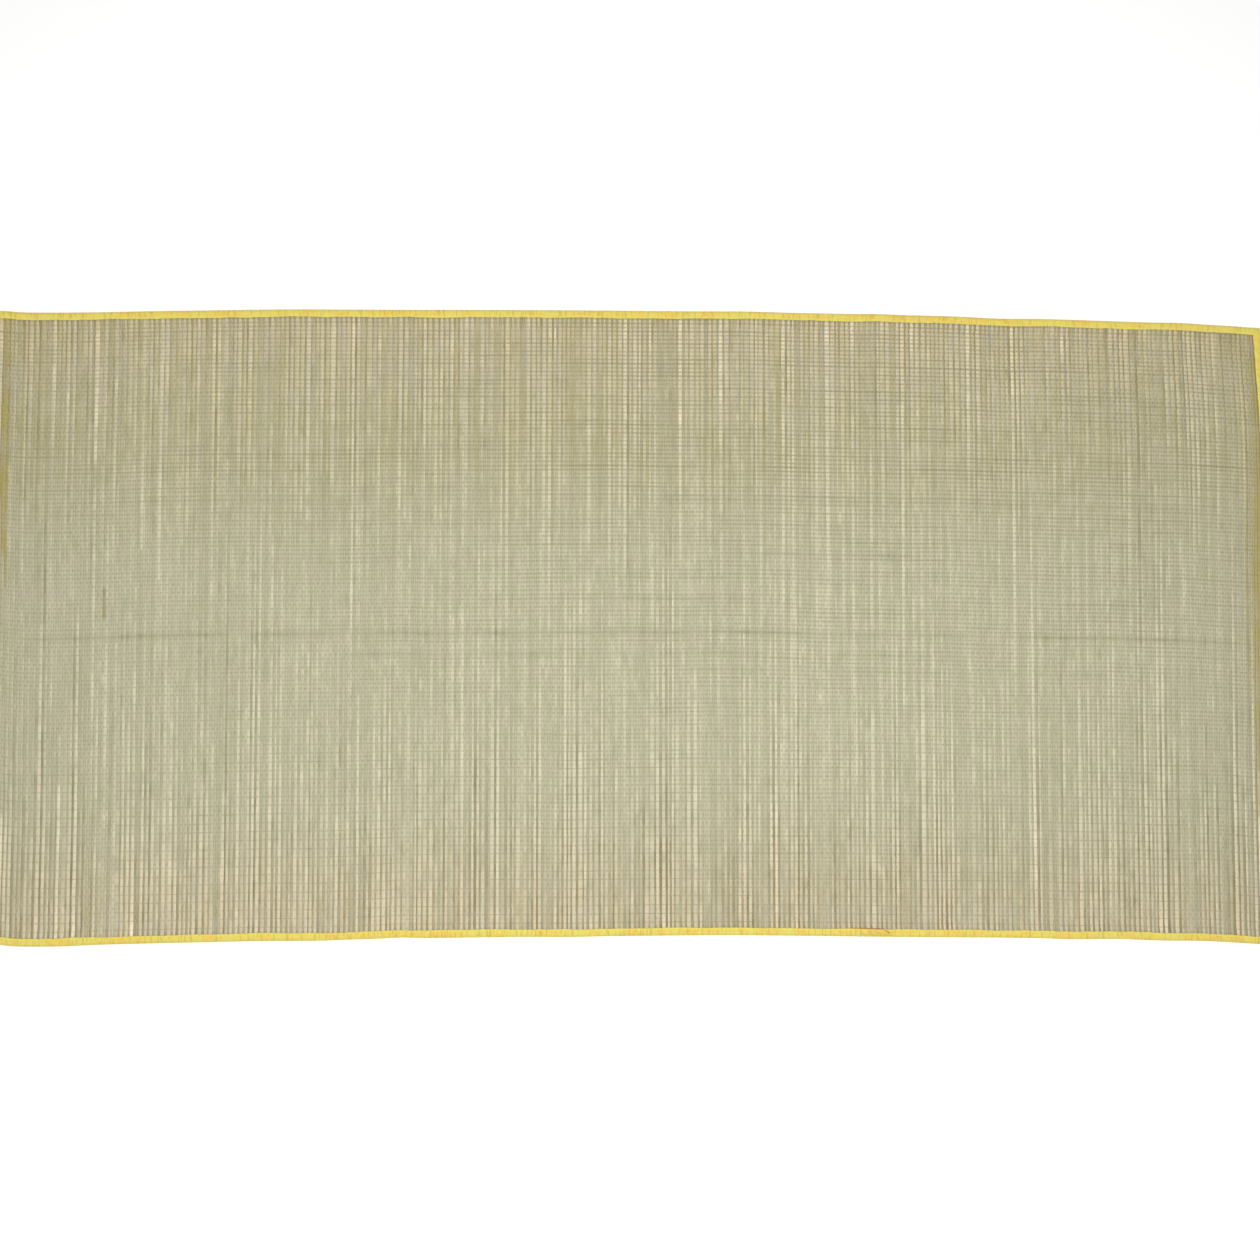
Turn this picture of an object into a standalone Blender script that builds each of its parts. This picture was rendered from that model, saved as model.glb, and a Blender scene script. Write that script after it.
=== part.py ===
"""Straw beach mat with a yellow cloth tape sewn round its edge, lying flat.

X runs along the mat, Y across it and Z up. The mat lies on z = 0, with the origin
under the middle of its outline. Everything is laid out flat first, as a plain
rectangle, and then moved sideways into the shape in which the mat really lies.
"""
import math

import bmesh
import bpy

MM = 0.001

# Driving sizes, in metres
LENGTH = 1815 * MM
WIDTH = 884.5 * MM
GAP = 0.3 * MM
LONG_EDGE_SPACES = 39
END_SPACES = 9

# Straw panel: thinner where the tape grips it
PANEL_THICK = 1.9 * MM
PANEL_EDGE_THICK = 1.4 * MM
PANEL_INSET = 2.1 * MM
GRIP_END = 13 * MM
SLOPE_END = 22 * MM
CREASE_PLACE = -16.4 * MM
CREASE_HALF_WIDTH = 5 * MM
CREASE_DEPTH = 0.4 * MM

# Edge tape: one strip folded over the edge, its end lapped over its start
TAPE_THICK = 1.0 * MM
TAPE_LEG = 10.9 * MM
TAPE_LEG_SWING = 0.7 * MM
# wave length in metres, start angle
TAPE_LEG_WAVES = ((0.31, 0.5), (0.137, 1.9), (0.083, 4.0))
LEG_STRIPS = 2
FOLD_STRIPS = 4
CORNER_TUCK = 0.1 * MM

# The lap, on the near long edge
LAP_START = 317 * MM
LAP_LENGTH = 40 * MM
LAP_RISE_LENGTH = 14 * MM
LAP_SLANT = 17 * MM
LAP_STEPS = 3

# How the mat lies: a slow bow of the whole mat, and small waves of its edges
BOW = 13.6 * MM
BOW_SKEW = -1.9 * MM
END_FADE = 8
# edge, place along it, shift towards +Y (long edges) or +X (ends), reach
EDGE_WAVES = (
    ("far", -0.897, 0.0028, 0.026),
    ("far", -0.777, -0.0010, 0.075),
    ("far", -0.497, 0.0010, 0.100),
    ("far", 0.153, 0.0009, 0.055),
    ("far", 0.348, 0.0007, 0.022),
    ("far", 0.523, -0.0015, 0.045),
    ("far", 0.788, 0.0012, 0.035),
    ("far", 0.901, -0.0012, 0.026),
    ("near", -0.897, 0.0051, 0.030),
    ("near", -0.797, -0.0009, 0.035),
    ("near", -0.447, -0.0012, 0.050),
    ("near", -0.327, 0.0012, 0.022),
    ("near", -0.095, -0.0008, 0.035),
    ("near", 0.113, 0.0007, 0.100),
    ("near", 0.383, -0.0009, 0.100),
    ("near", 0.613, -0.0008, 0.025),
    ("near", 0.690, 0.0009, 0.030),
    ("near", 0.803, 0.0010, 0.040),
    ("near", 0.893, -0.0012, 0.030),
    ("right", 0.442, -0.0054, 0.085),
    ("right", 0.240, 0.0030, 0.120),
    ("right", -0.200, -0.0015, 0.150),
    ("left", 0.180, -0.0018, 0.120),
    ("left", -0.260, 0.0012, 0.080),
)

# The four edges in the order that the tape runs round them: travel, way in
TAPE_RUNS = (
    ((1, 0), (0, 1)),
    ((0, 1), (-1, 0)),
    ((-1, 0), (0, -1)),
    ((0, -1), (1, 0)),
)

HALF_LENGTH = LENGTH / 2
HALF_WIDTH = WIDTH / 2
FOLD_OUTER = TAPE_THICK + GAP + PANEL_EDGE_THICK / 2
FOLD_INNER = FOLD_OUTER - TAPE_THICK
GRIP_BOTTOM = TAPE_THICK + GAP
LAP_LIFT = TAPE_THICK + GAP

STRAW_COLOUR = (0.496, 0.468, 0.314)
TAPE_COLOUR = (0.760, 0.577, 0.120)
CLOTH_ROUGHNESS = 0.65


def smooth_step(t):
    t = min(1.0, max(0.0, t))
    return t * t * (3 - 2 * t)


def edge_shift(edge, along):
    """Sideways shift of one edge at a place along it."""
    total = 0.0
    for name, place, shift, reach in EDGE_WAVES:
        if name == edge:
            total += shift * math.exp(-(((along - place) / reach) ** 2))
    return total


def lie(along, across):
    """Where a point of the flat rectangle lies on the floor.

    The waves of an end fade quickly away from it, and those of a long edge reach the other.
    """
    u = along / HALF_LENGTH
    far_share = across / WIDTH + 0.5
    right_share = along / LENGTH + 0.5
    bow = BOW * (1 - u * u) + BOW_SKEW * (u ** 3 - u)
    y_shift = far_share * edge_shift("far", along)
    y_shift += (1 - far_share) * edge_shift("near", along)
    x_shift = right_share ** END_FADE * edge_shift("right", across)
    x_shift += (1 - right_share) ** END_FADE * edge_shift("left", across)
    return along + x_shift, across + bow + y_shift


def edge_places(length, spaces):
    """Places along an edge where the panel and the tape both have a section."""
    flat = length - 2 * SLOPE_END
    even = [SLOPE_END + flat * i / spaces for i in range(spaces + 1)]
    return [GRIP_END, *even, length - GRIP_END]


def outline_middle():
    """Middle of the box round the outermost edge."""
    xs = []
    ys = []
    for sign in (-1, 1):
        for place in [0.0, *edge_places(WIDTH, END_SPACES), WIDTH]:
            xs.append(lie(sign * HALF_LENGTH, place - HALF_WIDTH)[0])
        for place in [0.0, *edge_places(LENGTH, LONG_EDGE_SPACES), LENGTH]:
            ys.append(lie(place - HALF_LENGTH, sign * HALF_WIDTH)[1])
    return (min(xs) + max(xs)) / 2, (min(ys) + max(ys)) / 2


MIDDLE = outline_middle()


def placed(along, across, height):
    x, y = lie(along, across)
    return x - MIDDLE[0], y - MIDDLE[1], height


def build_solid(name, sections, has_cell, colour):
    """A closed solid between two lines of points, carried from section to section.

    Each section holds an outer and an inner line. A cell lies between two sections and
    two neighbouring points of the lines, and only the faces with no cell behind them stay.
    """
    last_section = len(sections) - 1
    last_strip = len(sections[0][0]) - 1
    mesh_builder = bmesh.new()
    corners = {}

    def corner(section, point, side):
        key = (section, point, side)
        if key not in corners:
            corners[key] = mesh_builder.verts.new(sections[section][side][point])
        return corners[key]

    def filled(section, strip):
        inside = 0 <= section < last_section and 0 <= strip < last_strip
        return inside and has_cell(section, strip)

    for j in range(last_section):
        for i in range(last_strip):
            if not filled(j, i):
                continue
            loops = [[(j, i, side), (j + 1, i, side), (j + 1, i + 1, side), (j, i + 1, side)]
                     for side in (0, 1)]
            for point, neighbour in ((i, i - 1), (i + 1, i + 1)):
                if not filled(j, neighbour):
                    loops.append([(j, point, 0), (j + 1, point, 0), (j + 1, point, 1), (j, point, 1)])
            for section, neighbour in ((j, j - 1), (j + 1, j + 1)):
                if not filled(neighbour, i):
                    loops.append([(section, i, 0), (section, i + 1, 0),
                                  (section, i + 1, 1), (section, i, 1)])
            for loop in loops:
                mesh_builder.faces.new([corner(*key) for key in loop])
    bmesh.ops.recalc_face_normals(mesh_builder, faces=mesh_builder.faces)
    mesh = bpy.data.meshes.new(name)
    mesh_builder.to_mesh(mesh)
    mesh_builder.free()
    material = bpy.data.materials.new(name)
    material.use_nodes = True
    shader = material.node_tree.nodes["Principled BSDF"]
    shader.inputs["Base Color"].default_value = (*colour, 1.0)
    shader.inputs["Roughness"].default_value = CLOTH_ROUGHNESS
    shader.inputs["Metallic"].default_value = 0.0
    mesh.materials.append(material)
    obj = bpy.data.objects.new(name, mesh)
    bpy.context.collection.objects.link(obj)
    return obj


# ---------------------------------------------------------------- straw panel

def panel_lines(length, spaces):
    """Grid lines from one edge of the panel to the other, closer at its rims."""
    places = [PANEL_INSET, *edge_places(length, spaces), length - PANEL_INSET]
    return [place - length / 2 for place in places]


def panel_heights(along, across):
    """Underside and top of the panel at a point of the flat rectangle."""
    inside = min(HALF_LENGTH - abs(along), HALF_WIDTH - abs(across))
    grip = 1 - smooth_step((inside - GRIP_END) / (SLOPE_END - GRIP_END))
    bottom = GRIP_BOTTOM * grip
    edge_top = GRIP_BOTTOM + PANEL_EDGE_THICK
    top = PANEL_THICK + (edge_top - PANEL_THICK) * grip
    if across == CREASE_PLACE and inside >= SLOPE_END:
        top -= CREASE_DEPTH
    return bottom, top


def build_straw_panel():
    """One flat panel, pinched thinner along its edges, with a crease where it was folded."""
    crease = [CREASE_PLACE + side * CREASE_HALF_WIDTH for side in (-1, 0, 1)]
    columns = panel_lines(LENGTH, LONG_EDGE_SPACES)
    rows = sorted(panel_lines(WIDTH, END_SPACES) + crease)
    sections = []
    for along in columns:
        heights = [panel_heights(along, across) for across in rows]
        tops = [placed(along, y, height[1]) for y, height in zip(rows, heights)]
        bottoms = [placed(along, y, height[0]) for y, height in zip(rows, heights)]
        sections.append((tops, bottoms))
    return build_solid("straw_panel", sections, lambda section, strip: True, STRAW_COLOUR)


# ------------------------------------------------------------------ edge tape

def tape_leg(run, distance):
    """Width of the tape on the mat, a little uneven along each edge."""
    edge_turn = TAPE_RUNS.index(run)
    swing = 0.0
    for wave, turn in TAPE_LEG_WAVES:
        swing += math.sin(2 * math.pi * distance / wave + turn + edge_turn)
    return TAPE_LEG + TAPE_LEG_SWING * swing / len(TAPE_LEG_WAVES)


def tape_profile(leg, lift):
    """Outer and inner line of the folded tape, from its top leg round to its lower one.

    Each point is its distance in from the outermost edge, and its height.
    """
    outer = []
    inner = []
    for line, radius in ((outer, FOLD_OUTER), (inner, FOLD_INNER)):
        for i in range(LEG_STRIPS):
            reach = leg + (FOLD_OUTER - leg) * i / LEG_STRIPS
            line.append((reach, FOLD_OUTER + radius + lift))
        for i in range(FOLD_STRIPS + 1):
            turn = math.pi * (0.5 + i / FOLD_STRIPS)
            rise = lift * (1 - i / FOLD_STRIPS)
            depth = FOLD_OUTER + radius * math.cos(turn)
            line.append((depth, FOLD_OUTER + radius * math.sin(turn) + rise))
        for i in range(LEG_STRIPS):
            reach = FOLD_OUTER + (leg - FOLD_OUTER) * (i + 1) / LEG_STRIPS
            line.append((reach, FOLD_OUTER - radius))
    return outer, inner


def tape_section(run, distance, lift=0.0, slant=0.0):
    """One cross section of the tape, at a distance from the corner its run starts at."""
    (travel_x, travel_y), (in_x, in_y) = run
    start_x = -(travel_x + in_x) * HALF_LENGTH
    start_y = -(travel_y + in_y) * HALF_WIDTH
    at_corner = distance == 0.0
    if at_corner:
        in_x += travel_x
        in_y += travel_y
    leg = TAPE_LEG if at_corner else tape_leg(run, distance)
    section = []
    for line in tape_profile(leg, lift):
        points = []
        for reach, height in line:
            share = reach / leg
            step_in = reach + (CORNER_TUCK * (1 - share) if at_corner else 0.0)
            step_on = distance + slant * (0.5 - share)
            along = start_x + travel_x * step_on + in_x * step_in
            across = start_y + travel_y * step_on + in_y * step_in
            points.append(placed(along, across, height))
        section.append(points)
    return section


def build_edge_tape():
    """One strip right round the edge, from the lap's start to the lap's end."""
    lap_place = HALF_LENGTH + LAP_START
    rise_place = lap_place - GAP - LAP_RISE_LENGTH
    long_places = edge_places(LENGTH, LONG_EDGE_SPACES)
    end_places = edge_places(WIDTH, END_SPACES)
    near, right, far, left = TAPE_RUNS
    stops = (
        (near, [lap_place] + [place for place in long_places if place > lap_place]),
        (right, [0.0] + end_places),
        (far, [0.0] + long_places),
        (left, [0.0] + end_places),
        (near, [0.0] + [place for place in long_places if place < rise_place] + [rise_place]),
    )
    sections = [tape_section(run, place) for run, places in stops for place in places]
    for i in range(1, LAP_STEPS + 1):
        place = rise_place + LAP_RISE_LENGTH * i / LAP_STEPS
        lift = LAP_LIFT * smooth_step(i / LAP_STEPS)
        sections.append(tape_section(near, place, lift))
    folded_sections = len(sections) - 1
    for i in range(1, LAP_STEPS + 1):
        share = i / LAP_STEPS
        place = lap_place - GAP + LAP_LENGTH * share
        sections.append(tape_section(near, place, LAP_LIFT, LAP_SLANT * share))

    def has_cell(section, strip):
        return section < folded_sections or strip < LEG_STRIPS

    return build_solid("edge_tape", sections, has_cell, TAPE_COLOUR)


def main():
    for obj in list(bpy.data.objects):
        bpy.data.objects.remove(obj)
    build_straw_panel()
    build_edge_tape()


if __name__ == "__main__":
    main()
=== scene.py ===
"""Straw beach mat: rushes woven with cotton threads, edged with a yellow cloth tape.

Everything is laid out flat first, as a plain rectangle with X along the mat and Y across
it, and is then moved sideways into the shape in which the mat really lies.
"""
import math

import bpy
import numpy as np
from mathutils import Euler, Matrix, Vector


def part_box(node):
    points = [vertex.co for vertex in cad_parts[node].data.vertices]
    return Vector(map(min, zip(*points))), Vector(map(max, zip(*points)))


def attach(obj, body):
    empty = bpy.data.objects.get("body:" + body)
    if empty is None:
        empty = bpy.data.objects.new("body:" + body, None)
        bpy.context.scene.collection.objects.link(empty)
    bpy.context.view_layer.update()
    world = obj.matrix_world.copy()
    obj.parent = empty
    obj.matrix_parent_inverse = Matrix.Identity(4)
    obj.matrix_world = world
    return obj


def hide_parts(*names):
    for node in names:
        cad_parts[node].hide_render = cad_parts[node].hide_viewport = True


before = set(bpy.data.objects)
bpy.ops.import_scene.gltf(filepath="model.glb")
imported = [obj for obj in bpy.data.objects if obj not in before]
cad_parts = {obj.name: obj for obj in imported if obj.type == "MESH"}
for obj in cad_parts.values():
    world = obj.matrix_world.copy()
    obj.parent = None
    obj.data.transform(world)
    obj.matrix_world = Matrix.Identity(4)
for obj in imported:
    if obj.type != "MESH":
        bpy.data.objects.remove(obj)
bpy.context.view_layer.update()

bl_info = {
    "name": "Straw beach mat",
    "version": (1, 0, 0),
    "blender": (4, 5, 0),
    "location": "View3D > Sidebar > Straw Mat",
    "description": "Weaves a straw beach mat and sews its cloth tape round it",
    "category": "Object",
}

MM = 0.001

# ------------ the flat layout
# These are the sizes of the solids: the flat rectangle, and how it lies.
LENGTH = 1815 * MM
WIDTH = 884.5 * MM
HALF_LENGTH = LENGTH / 2
HALF_WIDTH = WIDTH / 2
BOW = 13.6 * MM
BOW_SKEW = -1.9 * MM
END_FADE = 8
# Waves of each edge: place along it, shift towards +Y (long edges) or +X (ends), reach
EDGE_WAVES = {
    "far": (
        (-0.897, 0.0028, 0.026),
        (-0.777, -0.0010, 0.075),
        (-0.497, 0.0010, 0.100),
        (0.153, 0.0009, 0.055),
        (0.348, 0.0007, 0.022),
        (0.523, -0.0015, 0.045),
        (0.788, 0.0012, 0.035),
        (0.901, -0.0012, 0.026),
    ),
    "near": (
        (-0.897, 0.0051, 0.030),
        (-0.797, -0.0009, 0.035),
        (-0.447, -0.0012, 0.050),
        (-0.327, 0.0012, 0.022),
        (-0.095, -0.0008, 0.035),
        (0.113, 0.0007, 0.100),
        (0.383, -0.0009, 0.100),
        (0.613, -0.0008, 0.025),
        (0.690, 0.0009, 0.030),
        (0.803, 0.0010, 0.040),
        (0.893, -0.0012, 0.030),
    ),
    "right": (
        (0.442, -0.0054, 0.085),
        (0.240, 0.0030, 0.120),
        (-0.200, -0.0015, 0.150),
    ),
    "left": (
        (0.180, -0.0018, 0.120),
        (-0.260, 0.0012, 0.080),
    ),
}

# The panel is gripped in the tape's fold, and slopes down to the floor beside it.
FOLD_OUTER = 2.0 * MM
GRIP_MIDDLE = 2.0 * MM
GRIP_END = 13 * MM
SLOPE_END = 22 * MM
PANEL_INSET = 2.6 * MM
CREASE_PLACE = -16.4 * MM
CREASE_DEPTH = 0.4 * MM

TAPE_LEG = 10.9 * MM
TAPE_LEG_SWING = 0.7 * MM
# wave length in metres, start angle
TAPE_LEG_WAVES = ((0.31, 0.5), (0.137, 1.9), (0.083, 4.0))
CORNER_TUCK = 0.1 * MM
LAP_START = 317 * MM
LAP_LENGTH = 40 * MM
LAP_RISE_LENGTH = 14 * MM
LAP_SLANT = 17 * MM
LAP_LIFT = 1.3 * MM
LAP_GAP = 0.3 * MM

# Nothing reaches below this height, so that the floor never shows through.
LOWEST = 0.02 * MM

# The four edges in the order that the tape runs round them: travel, way in
TAPE_RUNS = (((1, 0), (0, 1)), ((0, 1), (-1, 0)), ((-1, 0), (0, -1)), ((0, -1), (1, 0)))


def smooth(t):
    """A smooth step, from 0 where t is 0 or less to 1 where t is 1 or more."""
    t = np.clip(t, 0.0, 1.0)
    return t * t * (3.0 - 2.0 * t)


def edge_shift(edge, along):
    """Sideways shift of one edge at places along it."""
    total = np.zeros_like(along)
    for place, shift, reach in EDGE_WAVES[edge]:
        total += shift * np.exp(-(((along - place) / reach) ** 2))
    return total


def lie(along, across):
    """Where points of the flat rectangle lie on the floor, before centring.

    The waves of an end fade quickly away from it, and those of a long edge reach the other.
    """
    u = along / HALF_LENGTH
    far_share = across / WIDTH + 0.5
    right_share = along / LENGTH + 0.5
    bow = BOW * (1 - u * u) + BOW_SKEW * (u**3 - u)
    y_shift = far_share * edge_shift("far", along)
    y_shift += (1 - far_share) * edge_shift("near", along)
    x_shift = right_share**END_FADE * edge_shift("right", across)
    x_shift += (1 - right_share) ** END_FADE * edge_shift("left", across)
    return along + x_shift, across + bow + y_shift


def outline_middle():
    """How far the outline of the laid mat is from the middle of the solids' box."""
    steps = np.linspace(-1.0, 1.0, 400)
    low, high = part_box("edge_tape")
    xs = [lie(np.full(400, side * HALF_LENGTH), steps * HALF_WIDTH)[0] for side in (-1, 1)]
    ys = [lie(steps * HALF_LENGTH, np.full(400, side * HALF_WIDTH))[1] for side in (-1, 1)]
    return [(np.min(v) + np.max(v) - low[i] - high[i]) / 2 for i, v in enumerate((xs, ys))]


OUTLINE_MIDDLE = outline_middle()


def placed(along, across, height):
    """Points in the row frame, as an array whose last axis is X, Y and Z."""
    along, across, height = np.broadcast_arrays(along, across, height)
    x, y = lie(along, across)
    return np.stack([x - OUTLINE_MIDDLE[0], y - OUTLINE_MIDDLE[1], height], axis=-1)


# ------------ settings

def linear(hex_colour):
    """Linear red, green and blue of an sRGB hex colour."""
    channels = [int(hex_colour[i:i + 2], 16) / 255 for i in (1, 3, 5)]
    return tuple(c / 12.92 if c <= 0.04045 else ((c + 0.055) / 1.055) ** 2.4 for c in channels)


def colour_setting(name, description, hex_colour):
    return bpy.props.FloatVectorProperty(
        name=name, description=description, size=3, subtype="COLOR",
        min=0.0, max=1.0, default=linear(hex_colour),
    )


def length_setting(name, description, default):
    return bpy.props.FloatProperty(
        name=name, description=description, default=default, min=0.0, unit="LENGTH", precision=5,
    )


class StrawMatWeave(bpy.types.PropertyGroup):
    straws: bpy.props.IntProperty(
        name="Straws", description="How many straws lie side by side", default=500, min=8,
    )
    straw_ridge: length_setting(
        "Straw ridge", "Height of a flattened straw's ridge above its middle", 0.55 * MM)
    straw_lap: length_setting("Straw lap", "How far the edges of two straws lap", 0.1 * MM)
    crimp: length_setting("Crimp", "How far a straw is pressed up or down at a thread", 0.27 * MM)
    far_spacing: length_setting("Far spacing", "Thread spacing at the far edge", 5.82 * MM)
    near_spacing: length_setting("Near spacing", "Thread spacing at the near edge", 6.04 * MM)
    thread_radius: length_setting("Thread radius", "Radius of a cotton thread", 0.25 * MM)
    seed: bpy.props.IntProperty(
        name="Seed", description="Picks another bundle of straws", default=7)
    shade: colour_setting("Shade", "Darkest straws", "#827B5B")
    green: colour_setting("Green", "Straws picked green", "#ACAA8D")
    cream: colour_setting("Cream", "Ripe straws", "#CEC8AC")
    root: colour_setting("Root", "Pale root ends", "#F7EED4")
    blush: colour_setting("Blush", "Warm tint of the straws near both edges", "#FFF1E2")
    olive: colour_setting("Olive", "Stained straws", "#A2924A")
    dust: colour_setting("Dust", "Dusty, greyish patches of the mat", "#B5AB96")
    thread: colour_setting("Thread", "Cotton threads", "#C2BC9B")


class StrawMatTape(bpy.types.PropertyGroup):
    step: length_setting("Step", "Half the length of one pucker along the tape", 2.7 * MM)
    thickness: length_setting("Thickness", "Thickness of the doubled cloth", 1.0 * MM)
    stitch_length: length_setting("Stitch", "Length of one stitch", 3.8 * MM)
    stitch_inset: length_setting(
        "Stitch inset", "From the tape's inner edge to its seam", 1.9 * MM)
    stitch_radius: length_setting("Stitch radius", "Radius of the sewing thread", 0.30 * MM)
    yellow: colour_setting("Yellow", "Main colour of the tape", "#D9C863")
    orange: colour_setting("Orange", "Warmer patches of the dye", "#E0BB57")
    lemon: colour_setting("Lemon", "Paler, greener patches of the dye", "#DCD160")
    # A darker olive that is painted as shade on the tape's outer fold and in the hollows between
    # its puckers.
    olive_shade: colour_setting("Rolled edge", "Soiled outer edge of the tape", "#A8983C")
    sewing: colour_setting("Sewing thread", "Thread of the seam", "#FBEE9C")
    loose: colour_setting("Loose thread", "Red thread left in the seam", "#CB6E3C")
    closing: colour_setting("Closing thread", "Thread that closes the lap", "#A3962F")


class StrawMatStage(bpy.types.PropertyGroup):
    camera_place: bpy.props.FloatVectorProperty(
        name="Camera place", description="Where the camera stands", size=3,
        subtype="TRANSLATION", unit="LENGTH", default=(-0.1107, -0.1358, 2.4678),
    )
    camera_turn: bpy.props.FloatVectorProperty(
        name="Camera turn", description="Tilt, roll and turn of the camera", size=3,
        subtype="EULER", unit="ROTATION",
        default=[math.radians(angle) for angle in (3.0, -2.35, 0.11)],
    )
    lens: bpy.props.FloatProperty(
        name="Lens", description="Focal length in millimetres", default=50.0, min=10.0)
    sky: bpy.props.FloatProperty(
        name="Sky", description="Strength of the light from all round", default=0.57, min=0.0)
    lamp: bpy.props.FloatProperty(
        name="Lamp", description="Power of the large soft lamp", default=52.0, min=0.0,
        unit="POWER")
    floor: colour_setting("Floor", "Pale studio floor", "#FBFBFA")


# ------------ materials

def add_node(tree, kind, links=None, values=None, **settings):
    """Adds a node with its settings, links into its sockets and values of its sockets."""
    node = tree.nodes.new(kind)
    for key, value in settings.items():
        setattr(node, key, value)
    for key, value in (values or {}).items():
        node.inputs[key].default_value = value
    for key, source in (links or {}).items():
        tree.links.new(source, node.inputs[key])
    return node


def new_material(name, **socket_values):
    """A material, its tree, its shader with constant values set, and the place it is at."""
    material = bpy.data.materials.new(name)
    material.use_nodes = True
    tree = material.node_tree
    shader = tree.nodes["Principled BSDF"]
    for key, value in socket_values.items():
        shader.inputs[key.replace("_", " ")].default_value = value
    place = tree.nodes.new("ShaderNodeTexCoord").outputs["Object"]
    return material, tree, shader, place


def feed(tree, socket, value):
    """Links a socket from another one, or sets it to a number or a linear colour."""
    if hasattr(value, "is_linked"):
        tree.links.new(value, socket)
    else:
        socket.default_value = value if isinstance(value, float) else (*value, 1.0)


def mix(tree, share, first, second, blend="MIX"):
    """A colour mixed from two others, each a socket or a linear colour."""
    node = add_node(tree, "ShaderNodeMix", data_type="RGBA", blend_type=blend)
    for key, value in ((0, share), (6, first), (7, second)):
        feed(tree, node.inputs[key], value)
    return node.outputs[2]


def math_node(tree, operation, *values):
    """One step of arithmetic on values that are each a socket or a number."""
    node = add_node(tree, "ShaderNodeMath", operation=operation)
    for socket, value in zip(node.inputs, values):
        feed(tree, socket, value)
    return node.outputs[0]


def spread(tree, value, low, high, to_low, to_high):
    """A value carried smoothly from one span to another."""
    node = add_node(
        tree, "ShaderNodeMapRange", {"Value": value},
        {"From Min": low, "From Max": high, "To Min": to_low, "To Max": to_high},
        interpolation_type="SMOOTHSTEP",
    )
    return node.outputs["Result"]


def shaded(tree, base, shade):
    """A colour multiplied by one number for red, green and blue."""
    grey = add_node(
        tree, "ShaderNodeCombineColor", {"Red": shade, "Green": shade, "Blue": shade})
    return mix(tree, 1.0, base, grey.outputs["Color"], "MULTIPLY")


def noise(tree, place, sizes, detail=2.0, roughness=0.5):
    """Noise whose patches are about sizes metres along X, Y and Z."""
    scaled = add_node(
        tree, "ShaderNodeMapping", {"Vector": place},
        {"Scale": [1.0 / size for size in sizes]},
    )
    return add_node(
        tree, "ShaderNodeTexNoise", {"Vector": scaled.outputs["Vector"]},
        {"Scale": 1.0, "Detail": detail, "Roughness": roughness},
    ).outputs["Fac"]


def add_bump(tree, shader, height, strength, distance):
    """Bumps the surface by a height, for detail too fine to be worth faces."""
    bump = add_node(
        tree, "ShaderNodeBump", {"Height": height}, {"Strength": strength, "Distance": distance})
    tree.links.new(bump.outputs["Normal"], shader.inputs["Normal"])


def dried_rush(colours):
    """Sun-dried sedge stems, split and flattened: a waxy skin over long fibres.

    The eye sees matt green-grey to cream stems with fine lengthwise fibres, pale or
    pinkish towards the root, and a darker line at each thread, partly a pressed mark and
    partly painted shade of the pinch.
    """
    material, tree, shader, place = new_material("dried_rush", IOR=1.45, Specular_IOR_Level=0.3)
    look = add_node(tree, "ShaderNodeAttribute", attribute_name="look")
    tone, blush, stain = add_node(
        tree, "ShaderNodeSeparateColor", {"Color": look.outputs["Color"]}).outputs
    mark_and_shade = look.outputs["Alpha"]
    row = add_node(tree, "ShaderNodeAttribute", attribute_name="row").outputs["Fac"]
    # Real fibres are about 0.1 mm wide: these are drawn five times as wide, to show.
    fibres = noise(tree, place, (0.5 * MM, 28 * MM, 1.0), 3.0, 0.6)
    patches = noise(tree, place, (24 * MM, 55 * MM, 1.0), 2.0)
    flecks = noise(tree, place, (1.6 * MM, 7 * MM, 1.0), 1.0)
    base = mix(tree, spread(tree, tone, 0.0, 0.5, 0.0, 1.0), colours.shade, colours.green)
    base = mix(tree, spread(tree, tone, 0.45, 0.8, 0.0, 1.0), base, colours.cream)
    base = mix(tree, spread(tree, tone, 0.75, 1.1, 0.0, 1.0), base, colours.root)
    base = mix(tree, blush, base, colours.blush, "MULTIPLY")
    base = mix(tree, stain, base, colours.olive)
    base = mix(tree, spread(tree, patches, 0.42, 0.68, 0.0, 0.32), base, colours.dust)
    base = shaded(tree, base, spread(tree, fibres, 0.3, 0.7, 0.86, 1.08))
    # Each thread row is drawn as a darker line: partly a pressed mark in the straws, partly
    # painted shade of the pinch where the thread squeezes them.
    from_row = math_node(tree, "PINGPONG", row, 0.5)
    pressed = math_node(tree, "MULTIPLY", spread(tree, from_row, 0.0, 0.42, 1.0, 0.0), mark_and_shade)
    base = mix(tree, pressed, base, colours.shade)
    fleck = spread(tree, flecks, 0.74, 0.8, 0.0, 0.5)
    base = mix(tree, fleck, base, colours.shade)
    tree.links.new(base, shader.inputs["Base Color"])
    tree.links.new(spread(tree, fibres, 0.2, 0.8, 0.5, 0.68), shader.inputs["Roughness"])
    add_bump(tree, shader, fibres, 0.25, 0.1 * MM)
    return material


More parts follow.
